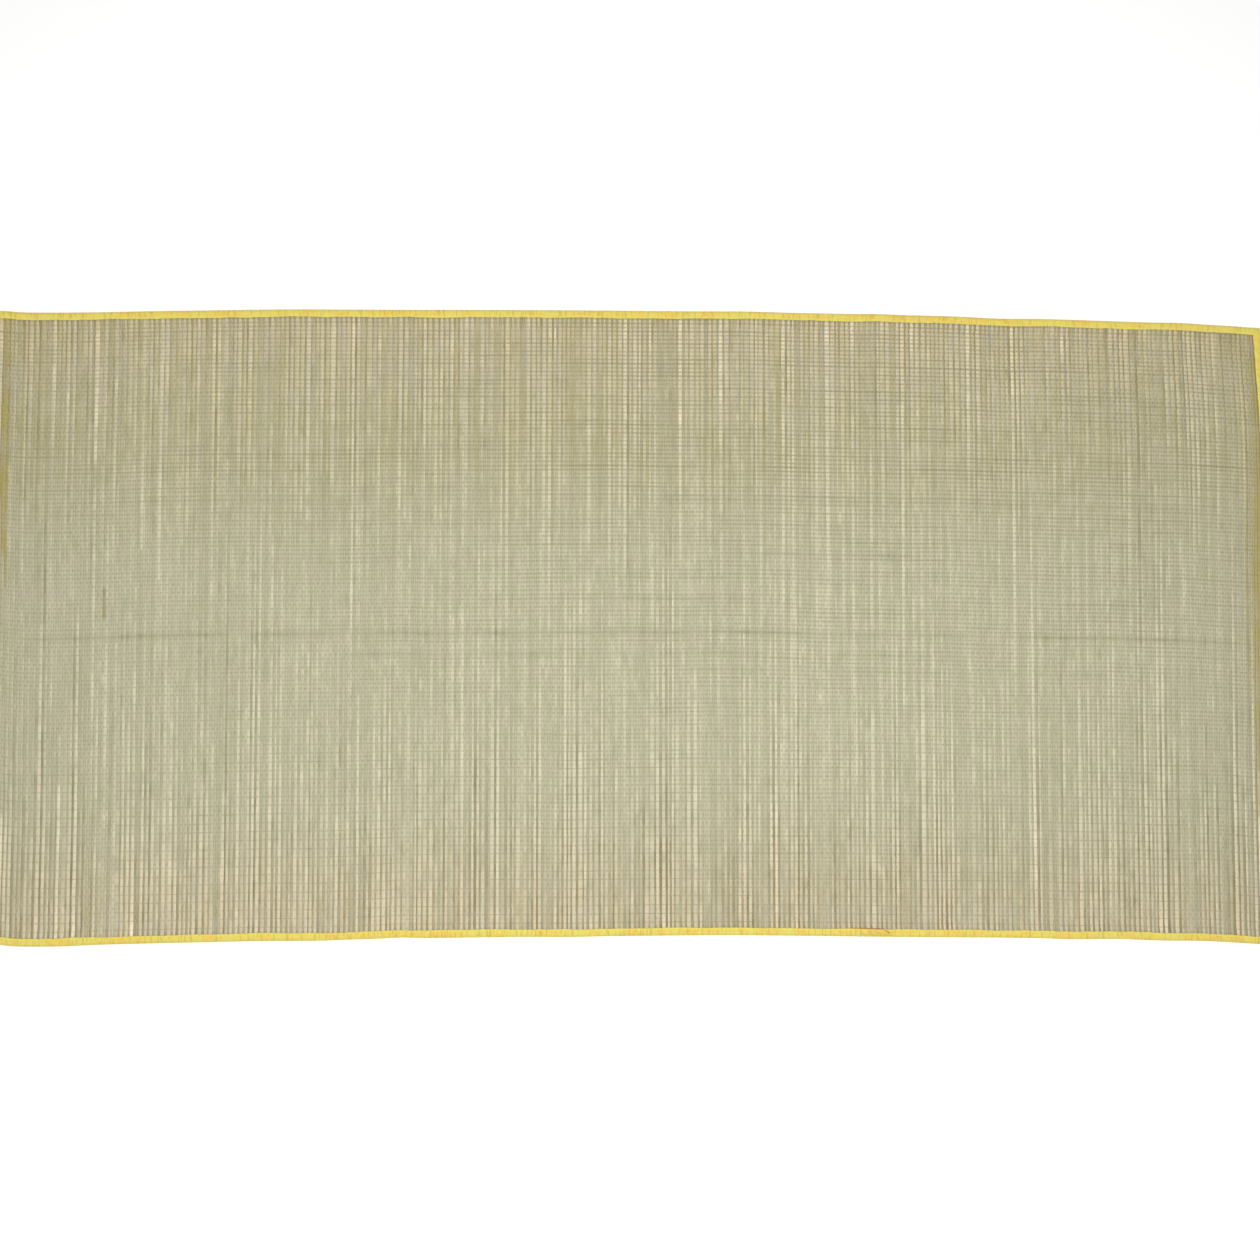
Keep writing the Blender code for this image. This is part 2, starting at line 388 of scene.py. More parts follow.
def cotton_thread(name, colour, shade_and_soil_factor):
    """Two-ply cotton thread: matt, with a faint twist that catches the light.

    The hollows of its twist get painted shade and its soiled stretches real soil, both darkened by
    the factor given.
    """
    # One darker colour serves both as painted shade in the hollows of the twist and as the soiled
    # stretches.
    deep = tuple(shade_and_soil_factor * c for c in colour)
    material, tree, shader, place = new_material(
        name, IOR=1.47, Specular_IOR_Level=0.2, Sheen_Weight=0.15, Roughness=0.85)
    # The real twist repeats every 0.5 mm: it is drawn every 1.2 mm, to show.
    twist = noise(tree, place, (1.2 * MM,) * 3, 1.0)
    soil = noise(tree, place, (90 * MM, 30 * MM, 1.0), 2.0)
    # Painted shade in the hollows of the twist.
    base = mix(tree, spread(tree, twist, 0.3, 0.7, 0.5, 0.0), colour, deep)
    base = mix(tree, spread(tree, soil, 0.4, 0.7, 0.0, 0.45), base, deep)
    tree.links.new(base, shader.inputs["Base Color"])
    add_bump(tree, shader, twist, 0.4, 0.1 * MM)
    return material


def dyed_tape(colours):
    """Plain-woven polycotton tape, dyed yellow, with its edges turned in and pressed.

    The eye sees a matt cloth whose dye wanders between orange and lemon, paler lemon
    towards its inner edge, with painted shade in the hollows between its puckers and on its
    outer fold, and fine threads along it and across it.
    """
    material, tree, shader, place = new_material(
        "dyed_tape", IOR=1.48, Specular_IOR_Level=0.25, Sheen_Weight=0.25)
    cloth = add_node(tree, "ShaderNodeUVMap", uv_map="cloth").outputs["UV"]
    inward = add_node(tree, "ShaderNodeAttribute", attribute_name="inward").outputs["Fac"]
    patches = noise(tree, place, (30 * MM, 30 * MM, 1.0), 3.0, 0.65)
    streaks = noise(tree, cloth, (9 * MM, 3.5 * MM, 1.0), 2.0)
    dip_shade = noise(tree, cloth, (2.6 * MM, 16 * MM, 1.0), 1.0)
    # The real threads are 0.3 mm apart: they are drawn 0.9 mm apart, to show.
    parts = add_node(tree, "ShaderNodeSeparateXYZ", {"Vector": cloth}).outputs
    waves = []
    for part in parts[:2]:
        turned = math_node(tree, "MULTIPLY", part, 2 * math.pi / (0.9 * MM))
        waves.append(math_node(tree, "SINE", turned))
    weave = math_node(tree, "MULTIPLY", *waves)
    base = mix(tree, spread(tree, patches, 0.38, 0.60, 0.0, 1.0), colours.orange, colours.yellow)
    base = mix(tree, spread(tree, streaks, 0.46, 0.62, 0.0, 0.65), base, colours.lemon)
    base = mix(tree, spread(tree, inward, 0.62, 0.98, 0.0, 0.6), base, colours.lemon)
    # Painted shade: the cloth is drawn darker in the hollows between its puckers.
    base = mix(tree, spread(tree, dip_shade, 0.50, 0.68, 0.0, 0.42), base, colours.olive_shade)
    # Painted shade: the outer fold is drawn darker where it turns away from the light.
    base = mix(tree, spread(tree, inward, 0.0, 0.45, 0.15, 0.0), base, colours.olive_shade)
    base = shaded(tree, base, spread(tree, weave, -1.0, 1.0, 0.9, 1.04))
    tree.links.new(base, shader.inputs["Base Color"])
    tree.links.new(spread(tree, streaks, 0.3, 0.7, 0.72, 0.88), shader.inputs["Roughness"])
    add_bump(tree, shader, weave, 0.35, 0.12 * MM)
    return material


def matt_floor(colour):
    """Painted studio floor: matt, pale and almost even."""
    material, tree, shader, place = new_material(
        "matt_floor", Roughness=0.9, Specular_IOR_Level=0.1)
    cloud = noise(tree, place, (0.5, 0.5, 1.0), 2.0)
    darker = tuple(0.98 * c for c in colour)
    base = mix(tree, cloud, darker, colour)
    tree.links.new(base, shader.inputs["Base Color"])
    return material


# ------------ mesh making

def swept_mesh(name, rings, creases=()):
    """A mesh of closed tubes, each carried from ring to ring and capped at both ends.

    rings has an axis for the tubes, one for the rings of a tube, one for the points of
    a ring and one for X, Y and Z. creases names the points that stay sharp edges.
    """
    tubes, stations, sides = rings.shape[:3]
    numbers = np.arange(tubes * stations * sides).reshape(tubes, stations, sides)
    following = np.roll(numbers, -1, axis=2)
    walls = np.stack(
        [numbers[:, :-1], numbers[:, 1:], following[:, 1:], following[:, :-1]], axis=-1)
    walls = walls.reshape(-1, 4)
    caps = np.concatenate([numbers[:, 0], numbers[:, -1, ::-1]])
    if enclosed(rings[0]) < 0:
        walls = walls[:, ::-1]
        caps = caps[:, ::-1]
    loops = np.concatenate([walls.ravel(), caps.ravel()])
    totals = np.concatenate([np.full(len(walls), 4), np.full(len(caps), sides)])
    starts = np.concatenate([[0], np.cumsum(totals)[:-1]])
    mesh = bpy.data.meshes.new(name)
    mesh.vertices.add(numbers.size)
    mesh.vertices.foreach_set("co", rings.astype(np.float32).ravel())
    mesh.loops.add(len(loops))
    mesh.loops.foreach_set("vertex_index", loops.astype(np.int32))
    mesh.polygons.add(len(totals))
    mesh.polygons.foreach_set("loop_start", starts.astype(np.int32))
    mesh.polygons.foreach_set("loop_total", totals.astype(np.int32))
    mesh.update(calc_edges=True)
    mesh.shade_smooth()
    ends = np.zeros(2 * len(mesh.edges), np.int32)
    mesh.edges.foreach_get("vertices", ends)
    first, second = ends.reshape(-1, 2).T % sides
    sharp = mesh.attributes.new("sharp_edge", "BOOLEAN", "EDGE")
    sharp.data.foreach_set("value", (first == second) & np.isin(first, creases))
    return mesh


def enclosed(tube):
    """Volume of one tube, which is negative if its walls would face inwards."""
    middle = tube.mean(axis=(0, 1))
    tube = tube - middle
    following = np.roll(tube, -1, axis=1)
    a, b, c, d = tube[:-1], tube[1:], following[1:], following[:-1]
    return float((a * np.cross(b, c)).sum() + (a * np.cross(c, d)).sum())


def point_values(mesh, name, values):
    """Gives each point of a swept mesh one number, or four as a colour and its alpha."""
    kind, key = ("FLOAT_COLOR", "color") if values.ndim == 4 else ("FLOAT", "value")
    attribute = mesh.attributes.new(name, kind, "POINT")
    attribute.data.foreach_set(key, values.astype(np.float32).ravel())


def map_points(mesh, name, around, along, around_end):
    """Gives a swept mesh a map from two arrays, with a seam that closes each ring.

    around and along hold a number for each point of each ring, and around_end holds the
    number that the first point of a ring has when it is reached again. All are broadcast.
    """
    around, along = np.broadcast_arrays(around, along)
    loops = np.zeros(len(mesh.loops), np.int32)
    mesh.loops.foreach_get("vertex_index", loops)
    tubes, stations, sides = around.shape
    around_end = np.broadcast_to(around_end, (tubes, stations))
    wall_loops = tubes * (stations - 1) * sides * 4
    u = around.ravel()[loops]
    v = along.ravel()[loops]
    wall = loops[:wall_loops].reshape(-1, 4)
    point = wall % sides
    closing = (point.max(axis=1) == sides - 1) & (point.min(axis=1) == 0)
    returned = closing[:, None] & (point == 0)
    u_wall = u[:wall_loops].reshape(-1, 4)
    u_wall[returned] = around_end.ravel()[wall[returned] // sides]
    layer = mesh.uv_layers.new(name=name)
    layer.uv.foreach_set("vector", np.stack([u, v], axis=-1).astype(np.float32).ravel())


def add_piece(name, mesh, material):
    """Puts a finished mesh in the scene as a piece of the mat, which rides on its one body."""
    mesh.materials.append(material)
    piece = bpy.data.objects.new(name, mesh)
    bpy.context.collection.objects.link(piece)
    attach(piece, "root")
    return piece


# ------------ weaving

# A thread row that is pulled tighter: place across, from and to along, depth, painted shade in its
# groove
TIGHT_ROWS = (
    (0.171, -0.740, -0.320, 0.10 * MM, 0.09),
    (0.171, -0.047, 0.883, 0.12 * MM, 0.09),
    (0.099, -0.010, 0.440, 0.12 * MM, 0.09),
    (0.029, -0.150, 0.200, 0.12 * MM, 0.09),
    (CREASE_PLACE, -0.885, 0.885, CREASE_DEPTH, 0.19),
    (-0.045, -0.440, 0.500, 0.12 * MM, 0.12),
    (-0.069, -0.050, 0.700, 0.10 * MM, 0.09),
)

# Place across the mat, and how darkly the threads mark the straws there: a pressed line that is
# partly painted shade of the pinch
MARK_AND_SHADE_PROFILE = (
    (-0.36, 0.10), (-0.23, 0.12), (-0.09, 0.17), (0.05, 0.21), (0.19, 0.32), (0.33, 0.42))

# Place across the mat, and how much paler it is painted there, as a pool of light
LIGHT_POOL_PROFILE = ((-0.42, -1.8), (-0.20, 1.0), (0.20, 1.0), (0.42, 0.6))

# A straw that stands out: place along, from and to across, change of tone, stain
ODD_STRAWS = (
    (-0.8940, 0.26, 0.44, 0.10, 0.0),
    (-0.8885, 0.18, 0.44, -0.14, 0.55),
    (-0.8840, 0.10, 0.44, -0.14, 0.65),
    (-0.8800, 0.05, 0.44, -0.12, 0.45),
    (-0.8760, 0.10, 0.44, 0.16, 0.0),
    (-0.8800, -0.44, -0.26, 0.30, 0.0),
    (-0.8420, -0.44, -0.20, 0.16, 0.0),
    (-0.8030, -0.44, -0.22, 0.18, 0.0),
    (-0.7000, -0.44, -0.29, 0.16, 0.0),
    (-0.7420, 0.010, 0.055, -0.36, 0.25),
    (-0.6920, 0.10, 0.44, 0.24, 0.0),
    (-0.6550, -0.42, -0.06, 0.20, 0.0),
    (-0.6087, 0.346, 0.356, -0.30, 0.30),
    (0.5340, 0.363, 0.373, -0.30, 0.30),
    (-0.7885, -0.391, -0.380, -0.30, 0.30),
    (0.8730, 0.20, 0.44, 0.14, 0.3),
    (0.8780, -0.10, 0.40, -0.02, 0.35),
    (0.8830, 0.00, 0.44, 0.04, 0.30),
    (0.8860, -0.28, 0.34, -0.03, 0.50),
    (0.8900, -0.20, 0.44, -0.04, 0.60),
    (0.8920, -0.44, -0.26, 0.30, 0.0),
    (0.8940, -0.14, 0.44, -0.02, 0.60),
)

# How near the first and last thread rows may come to the ends of the straws
ROW_MARGIN = 1.5 * MM

# How uneven the straws are: share that lie the other way round, spread of their widths,
# least and greatest taper, and spread of the heights of their ridges
SWAPPED_SHARE = 0.04
WIDTH_SPREAD = 0.16
TAPER = (0.16, 0.42)
RIDGE_SPREAD = 0.06

# How far the edges of the straws wander: at each thread, over a few, and where one is loose
EDGE_PUSH = 0.09 * MM
SLOW_PUSH = 0.14 * MM
LOOSE_PUSH = 0.3 * MM

# How far in from its ends the mat is yellowed
YELLOWED_END = 45 * MM

# How the thread rows wander together: wave length along the mat, swing
ROW_WAVES = ((0.62, 0.5 * MM), (0.27, 0.35 * MM), (0.11, 0.16 * MM))
ROW_JITTER = 0.18 * MM

# Reach from the near and the far edge of the warm tint, and its strength there
NEAR_BLUSH = (0.13, 0.7)
FAR_BLUSH = (0.09, 0.65)

# Tone of a straw: its middle, how much paler a root is at the near and at the far edge, how
# much darker a tip is, how far straws differ, how far the tone wanders along a straw (over
# how many threads, how far) and from thread to thread
MIDDLE_TONE = 0.50
ROOT_PALE = (0.20, 0.21)
TIP_DARK = 0.22
TONE_SPREAD = 0.075
TONE_WANDER = ((22, 0.040), (3, 0.040))
TONE_GRAIN = 0.022

# Where along the mat a painted pool of light is brightest, how far it reaches and how much paler
# it makes the straws
LIGHT_POOL_PLACE = 0.22
LIGHT_POOL_REACH = 0.5
LIGHT_POOL_PALE = 0.03
# How much darker both ends are painted, as shade where the light falls off
END_SHADE = 0.07


def soft_noise(random, shape, step, axis):
    """Smooth noise of spread 1 along one axis, with a new random value every few steps."""
    length = shape[axis]
    knots = max(4, int(length / step) + 3)
    knot_shape = list(shape)
    knot_shape[axis] = knots
    values = np.moveaxis(random.standard_normal(knot_shape), axis, -1)
    places = np.linspace(0, knots - 2.001, length)
    first = places.astype(int)
    share = smooth(places - first)
    mixed = values[..., first] * (1 - share) + values[..., first + 1] * share
    return np.moveaxis(mixed, -1, axis)


def handful_mean(values, count):
    """Mean of each row of values and the few rows before and after it."""
    padded = np.pad(values, ((count + 1, count), (0, 0)), mode="reflect")
    sums = np.cumsum(padded, axis=0)
    return (sums[2 * count + 1:] - sums[:-2 * count - 1]) / (2 * count + 1)


def thread_places(settings, random):
    """Places across the mat of its thread rows, from the near edge to the far one."""
    reach = HALF_WIDTH - PANEL_INSET - ROW_MARGIN
    sides = []
    for way in (-1, 1):
        place = CREASE_PLACE
        side = []
        while abs(place) < reach:
            side.append(place)
            far_share = place / WIDTH + 0.5
            spacing = settings.near_spacing * (1 - far_share) + settings.far_spacing * far_share
            place += way * spacing
        sides.append(side)
    places = np.array(sides[0][::-1] + sides[1][1:])
    places[1:-1] += random.normal(0.0, ROW_JITTER, len(places) - 2)
    return places


def weave_layout(settings):
    """Where every straw crosses every thread, and how each straw looks there.

    All arrays have a row for each straw and a column for each crossing. The first and
    last columns are the straws' ends, where there is no thread.
    """
    random = np.random.default_rng(settings.seed)
    threads = thread_places(settings, random)
    reach = HALF_WIDTH - PANEL_INSET
    across = np.concatenate([[-reach], threads, [reach]])
    straws, crossings = shape = (settings.straws, len(across))

    # Straws taper from root to tip, and lie with their roots at the near or the far edge.
    root_near = np.arange(straws) % 2 == 0
    swapped = random.random(straws) < SWAPPED_SHARE
    root_near = (root_near ^ swapped)[:, None]
    height_share = (across + HALF_WIDTH) / WIDTH
    from_root = np.where(root_near, height_share, 1 - height_share)
    taper = random.uniform(*TAPER, (straws, 1))
    width = random.normal(1.0, WIDTH_SPREAD, (straws, 1)).clip(0.6, 1.5)
    width = width * (1 + taper * (1 - 2 * from_root))
    # Every handful holds as many roots as tips, so the straws stay square to the threads.
    width /= handful_mean(width, 10)

    # Their edges touch, so each straw pushes the next, and the threads push them to and fro.
    edges = np.concatenate([np.zeros((1, crossings)), np.cumsum(width, axis=0)])
    edges = (edges / edges[-1] * 2 - 1) * (HALF_LENGTH - PANEL_INSET)
    push = EDGE_PUSH * random.standard_normal((straws + 1, crossings))
    push += SLOW_PUSH * soft_noise(random, (straws + 1, crossings), 6, 1)
    loose = smooth(soft_noise(random, (straws + 1, crossings), 24, 1) - 0.7)
    push += LOOSE_PUSH * loose * np.where(np.arange(crossings) % 2 == 0, 1.0, -1.0)
    edges[1:-1] += push[1:-1]
    along = (edges[1:] + edges[:-1]) / 2
    # The straws are rounder, and stand a little apart, towards the near edge and the far one.
    roundness = smooth((np.abs(across + 0.06) - 0.18) / 0.26)
    half_width = (edges[1:] - edges[:-1] + settings.straw_lap * (1 - 3.0 * roundness)) / 2

    # Thread rows wander a little, neighbours together.
    turns = random.uniform(0, 2 * math.pi, 6)
    wander = np.zeros(shape)
    for k, (wave, swing) in enumerate(ROW_WAVES):
        drift = 2.2 * np.sin(across / 0.17 + turns[k])
        wander += swing * np.sin(2 * math.pi * along / wave + turns[k + 3] + drift)
    wander *= 1 - (np.abs(across) / reach) ** 6
    places = across + wander

    # Heights: each straw goes over one thread and under the next.
    inside = np.minimum(HALF_LENGTH - np.abs(along), HALF_WIDTH - np.abs(places))
    grip = 1 - smooth((inside - GRIP_END) / (SLOPE_END - GRIP_END))
    free_middle = settings.crimp - STRAW_UNDERSIDE * settings.straw_ridge + 0.03 * MM
    middle = free_middle + (GRIP_MIDDLE - free_middle) * grip
    ridge = settings.straw_ridge * random.normal(1.0, RIDGE_SPREAD, shape).clip(0.85, 1.12)
    ridge = ridge * (1 + 0.45 * roundness)
    parity = (np.arange(straws)[:, None] + np.arange(crossings)[None, :]) % 2
    crimp = settings.crimp * (1 - 0.92 * grip) * np.where(parity == 0, 1.0, -1.0)

    look, depth = straw_looks(random, threads, along, across, root_near, from_root)
    return dict(
        along=along, across=places, middle=middle - depth * (1 - grip), half_width=half_width,
        ridge=ridge, crimp=crimp, parity=parity, inside=inside, look=look)


def straw_looks(random, threads, along, across, root_near, from_root):
    """Tone, blush, stain and thread mark of each straw at each crossing, and its depth there.
    The tone holds painted light and shade as well, and the thread mark is partly painted shade.

    The depth is how far a tight thread pulls the straws down.
    """
    straws, crossings = shape = along.shape
    root_pale = 0.5 + 0.5 * random.beta(0.9, 2.4, (straws, 1))
    root_reach = random.uniform(0.10, 0.45, (straws, 1)) * np.where(root_near, 1.0, 0.8)
    tip_dark = random.uniform(0.6, 1.0, (straws, 1))
    pale = np.where(root_near, *ROOT_PALE) * root_pale * np.exp(-((from_root / root_reach) ** 2))
    pale -= TIP_DARK * tip_dark * smooth((from_root - 0.45) / 0.55)
    pale += TONE_SPREAD * random.standard_normal((straws, 1))
    # Light and dark straws are well mixed, so a handful is never all pale or all dark.
    tone = MIDDLE_TONE + pale - 0.7 * (handful_mean(pale, 1) - pale.mean(axis=0))
    tone += np.where(root_near, 0.02, -0.02)
    for step, swing in TONE_WANDER:
        tone += swing * soft_noise(random, shape, step, 1)
    tone += TONE_GRAIN * random.standard_normal(shape)
    # The straws are painted paler in a pool of light where the mat is lit most, and painted darker
    # at both ends as shade where the light falls off.
    light_pool = np.exp(-(((along - LIGHT_POOL_PLACE) / LIGHT_POOL_REACH) ** 2))
    light_pool *= np.interp(across, *zip(*LIGHT_POOL_PROFILE))
    tone += LIGHT_POOL_PALE * light_pool - END_SHADE * (along / HALF_LENGTH) ** 6
    # The threads mark the straws less on its left: a pressed line that is partly painted shade of
    # the pinch.
    mark_and_shade = np.interp(across, *zip(*MARK_AND_SHADE_PROFILE)) - 0.12 * smooth((0.25 - along) / 1.1)
    mark_and_shade = mark_and_shade.clip(0.02, 1.0) * random.uniform(0.7, 1.3, (1, crossings))
    mark_and_shade = mark_and_shade * (1 + 0.35 * soft_noise(random, shape, 20, 0))
    blush = np.zeros(crossings)
    for from_edge, (edge_reach, strength) in (
            (HALF_WIDTH + across, NEAR_BLUSH), (HALF_WIDTH - across, FAR_BLUSH)):
        blush += strength * np.exp(-((from_edge / edge_reach) ** 2))
    blush = blush * random.uniform(0.5, 1.3, (straws, 1)) + 0.03
    far_half = smooth((across - 0.06) / 0.26)
    tone = MIDDLE_TONE + (tone - MIDDLE_TONE) * (1 + 0.3 * far_half) + 0.05 * far_half
    stain = 0.27 * far_half * random.uniform(0.5, 1.5, (straws, 1))
    depth = np.zeros(shape)
    for place, start, end, deep, groove_shade in TIGHT_ROWS:
        j = 1 + int(np.argmin(np.abs(threads - place)))
        share = smooth((along[:, j] - start) / 0.06) * smooth((end - along[:, j]) / 0.06)
        uneven = 0.75 + 0.35 * soft_noise(random, (straws,), 14, 0)
        depth[:, j] += deep * share
        # Painted shade: the straws are drawn darker along a tight row, in its groove.
        tone[:, j] -= groove_shade * share * uneven
    for place, start, end, change, stained in ODD_STRAWS:
        j = int(np.argmin(np.abs(across - (start + end) / 2)))
        i = int(np.argmin(np.abs(along[:, j] - place)))
        share = smooth((across - start) / 0.004) * smooth((end - across) / 0.004)
        tone[i] += change * share
        stain[i] = np.maximum(stain[i], stained * share)
    # Both ends are a little yellowed, but for their near corners.
    ends = smooth(1 - (HALF_LENGTH - np.abs(along)) / YELLOWED_END)
    ends = ends * smooth((across + 0.25) / 0.4)
    stain = stain + ends * (0.15 + 0.2 * random.random((straws, 1)))
    return np.stack([tone, blush, stain, mark_and_shade], axis=-1).clip(0.0, 1.2), depth


# A flattened straw's ring: its left edge, its right edge and its ridge on top
STRAW_UNDERSIDE = -0.5
STRAW_RING = ((-1, STRAW_UNDERSIDE), (1, STRAW_UNDERSIDE), (0, 1))
# A thread's ring: its far side, its near side and its ridge on top
THREAD_RING = ((1.15, -0.5), (-1.15, -0.5), (0.0, 1.0))
STRAW_PIECES = ("straws_left", "straws_middle_left", "straws_middle_right", "straws_right")
THREAD_PIECES = ("threads_near", "threads_middle", "threads_far")


def woven_rings(layout, ring, sideways, centre, rise):
    """A ring of points at every crossing, its sides moved along and across the mat."""
    return np.stack([
        placed(layout["along"] + side * sideways[0], layout["across"] + side * sideways[1],
               np.maximum(centre + up * rise, LOWEST))
        for side, up in ring
    ], axis=2)


def make_straws(settings):
    """All the straws, as joined meshes side by side, each with its share of the mat."""
    layout = weave_layout(settings)
    centre = layout["middle"] + layout["crimp"]
    rings = woven_rings(
        layout, STRAW_RING, (layout["half_width"], 0.0), centre, layout["ridge"])
    shape = rings.shape[:3]
    values = {
        "look": np.broadcast_to(layout["look"][:, :, None, :], (*shape, 4)),
        "row": np.broadcast_to(np.arange(shape[1])[None, :, None], shape),
    }
    return add_woven(STRAW_PIECES, rings, dried_rush(settings), values, creases=(0, 1))


def add_woven(names, rings, material, values=None, creases=()):
    """Shares tubes out among joined meshes, which together stand for the panel.

    values holds what each point carries, by name. Gives each piece and its share.
    """
    pieces = []
    for name, group in zip(names, np.array_split(np.arange(len(rings)), len(names))):
        mesh = swept_mesh(name, rings[group], creases)
        for key, numbers in (values or {}).items():
            point_values(mesh, key, numbers[group])
        map_strips(mesh, *rings[group].shape[:3])
        piece = add_piece(name, mesh, material)
        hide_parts("straw_panel")
        pieces.append((piece, len(group) / len(rings)))
    return pieces


def map_strips(mesh, tubes, stations, sides):
    """A map with a strip of its own for each tube, so that bakes keep every one apart."""
    tube = np.arange(tubes)[:, None, None]
    around = (tube + 0.9 * np.arange(sides) / sides) / tubes
    along = np.linspace(0, 1, stations)[:, None]
    map_points(mesh, "OFBake", around, along, (tube[:, :, 0] + 0.9) / tubes)


def make_threads(settings):
    """The cotton threads, over one straw and under the next, as joined meshes."""
    layout = weave_layout(settings)
    radius = settings.thread_radius
    shown = layout["inside"].max(axis=0) > GRIP_END - 3 * MM
    over = np.where(layout["parity"] == 1, 1.0, -1.0)
    clear = layout["ridge"] - np.abs(layout["crimp"]) + 0.8 * radius
    centre = layout["middle"] + over * clear
    rings = woven_rings(layout, THREAD_RING, (0.0, radius), centre, radius)
    rings = np.swapaxes(rings, 0, 1)[shown]
    return add_woven(THREAD_PIECES, rings, cotton_thread("warp_cotton", settings.thread, 0.55))


# ------------ sewing

# Outer face of the folded tape: reach in from the edge as a share of the leg, height
# above the leg's own middle as a share of half the cloth
TOP_LEG = ((1.00, 0.15), (0.955, 0.92), (0.82, 0.62), (0.62, 0.98), (0.40, 1.02))
FOLD_POINTS = 7
INNER_FOLD_POINTS = 3
LOW_LEG = ((0.35, 1.0), (0.70, 1.0), (0.96, 0.9), (1.0, 0.2))
# A stitch from end to end: share of its length, radius, sink into the cloth
STITCH_RINGS = ((-0.42, 0.35, 0.8), (0.0, 1.0, 0.0), (0.42, 0.35, 0.8))

# Routes of the two threads at the lap: along the mat, in from its near edge, height
# A red thread is caught along the tape's inner edge, with its end on the tape.
RED_RADIUS = 0.42 * MM
RED_ROUTE = (
    (0.3010, 0.01170, 0.0026),
    (0.3050, 0.01150, 0.0034),
    (0.3110, 0.01125, 0.0039),
    (0.3175, 0.01160, 0.0045),
    (0.3240, 0.01120, 0.0049),
    (0.3310, 0.01155, 0.0050),
    (0.3370, 0.01130, 0.0051),
    (0.3430, 0.01140, 0.0050),
    (0.3475, 0.01100, 0.0050),
    (0.3490, 0.00980, 0.0052),
)
# The thread that closes the lap runs along its slanted end and is knotted halfway.
CLOSING_RADIUS = 0.48 * MM
CLOSING_ROUTE = (
    (0.3472, 0.01130, 0.0046),
    (0.3488, 0.01030, 0.0052),
    (0.3505, 0.00930, 0.0051),
    (0.3525, 0.00830, 0.0052),
    (0.3545, 0.00725, 0.0051),
    (0.3562, 0.00640, 0.0053),
    (0.3568, 0.00560, 0.0055),
    (0.3556, 0.00590, 0.0057),
    (0.3574, 0.00650, 0.0056),
)


def tape_leg(run, distance):
    """Width of the tape on the mat, a little uneven along each edge."""
    swing = 0.0
    for wave, turn in TAPE_LEG_WAVES:
        swing = swing + np.sin(2 * math.pi * distance / wave + turn + run)
    return TAPE_LEG + TAPE_LEG_SWING * swing / len(TAPE_LEG_WAVES)


def tape_profile(thickness):
    """Ring of the folded tape: share of the leg, offset in, height, and how far inward."""
    half = thickness / 2
    ring = []
    for share, rise in TOP_LEG:
        ring.append((share, 0.0, 2 * FOLD_OUTER - half + rise * half, share))

    def bend(radius, turn):
        """A point of the fold, which turns about the middle of the folded tape."""
        offset = FOLD_OUTER + radius * math.cos(turn)
        ring.append((0.0, offset, FOLD_OUTER + radius * math.sin(turn), 0.0))

    for i in range(FOLD_POINTS):
        bend(FOLD_OUTER, math.pi * (0.5 + i / (FOLD_POINTS - 1)))
    for share, rise in LOW_LEG:
        ring.append((share, 0.0, half - rise * half, 0.0))
    ring.append((0.995, 0.0, thickness * 0.85, 0.0))
    for i in range(INNER_FOLD_POINTS):
        bend(FOLD_OUTER - thickness, math.pi * (1.5 - i / (INNER_FOLD_POINTS - 1)))
    ring.append((0.995, 0.0, 2 * FOLD_OUTER - thickness * 0.9, 1.0))
    return np.array(ring)


def on_edge(run, step_on, step_in):
    """Places along and across the mat, some way on along an edge and some way in from it."""
    return [
        half * (-travel - way_in) + travel * step_on + way_in * step_in
        for half, travel, way_in in zip((HALF_LENGTH, HALF_WIDTH), *TAPE_RUNS[run])
    ]


def tape_rings(run, distances, profile, random, lift=0.0, slant=0.0):
    """Rings of the tape along one edge, with a small pucker for each stitch."""
    distances = np.asarray(distances, float)[:, None]
    at_corner = distances == 0.0
    leg = np.where(at_corner, TAPE_LEG, tape_leg(run, distances))
    share, offset, height, _ = profile.T
    count = len(distances)
    on_top = height > FOLD_OUTER
    wobble = 0.22 * MM * soft_noise(random, (count, 1), 3, 0)
    ribs = np.where(np.arange(count) % 2 == 0, 0.09, -0.09)[:, None]
    pucker = MM * (ribs + 0.08 * random.standard_normal((count, 1)))
    if run == 0:
        pucker *= smooth(np.abs(distances - HALF_LENGTH - LAP_START) / (5 * MM))
    reach = share * leg + offset + np.where(share > 0.9, wobble * ~at_corner, 0.0)
    rise = height + np.where(on_top & (share > 0.3), pucker * (0.4 + share), 0.0)
    rise = np.minimum(rise, height + 0.12 * MM) + lift
    step_in = reach + np.where(at_corner, CORNER_TUCK * (1 - reach / leg), 0.0)
    # The ring at a corner stands across both edges.
    step_on = distances + slant * (0.5 - reach / leg) + at_corner * step_in
    return placed(*on_edge(run, step_on, step_in), rise)


def stepped(start, end, step):
    """Even places from start to end, about a step apart."""
    return np.linspace(start, end, max(2, int(round((end - start) / step)) + 1))


def tape_lengths():
    """Where the tape runs: edge, from and to along it. The corners are at 0."""
    lap_place = HALF_LENGTH + LAP_START
    return (
        (0, lap_place, LENGTH - GRIP_END),
        (1, GRIP_END, WIDTH - GRIP_END),
        (2, GRIP_END, LENGTH - GRIP_END),
        (3, GRIP_END, WIDTH - GRIP_END),
        (0, GRIP_END, lap_place - LAP_GAP),
    )


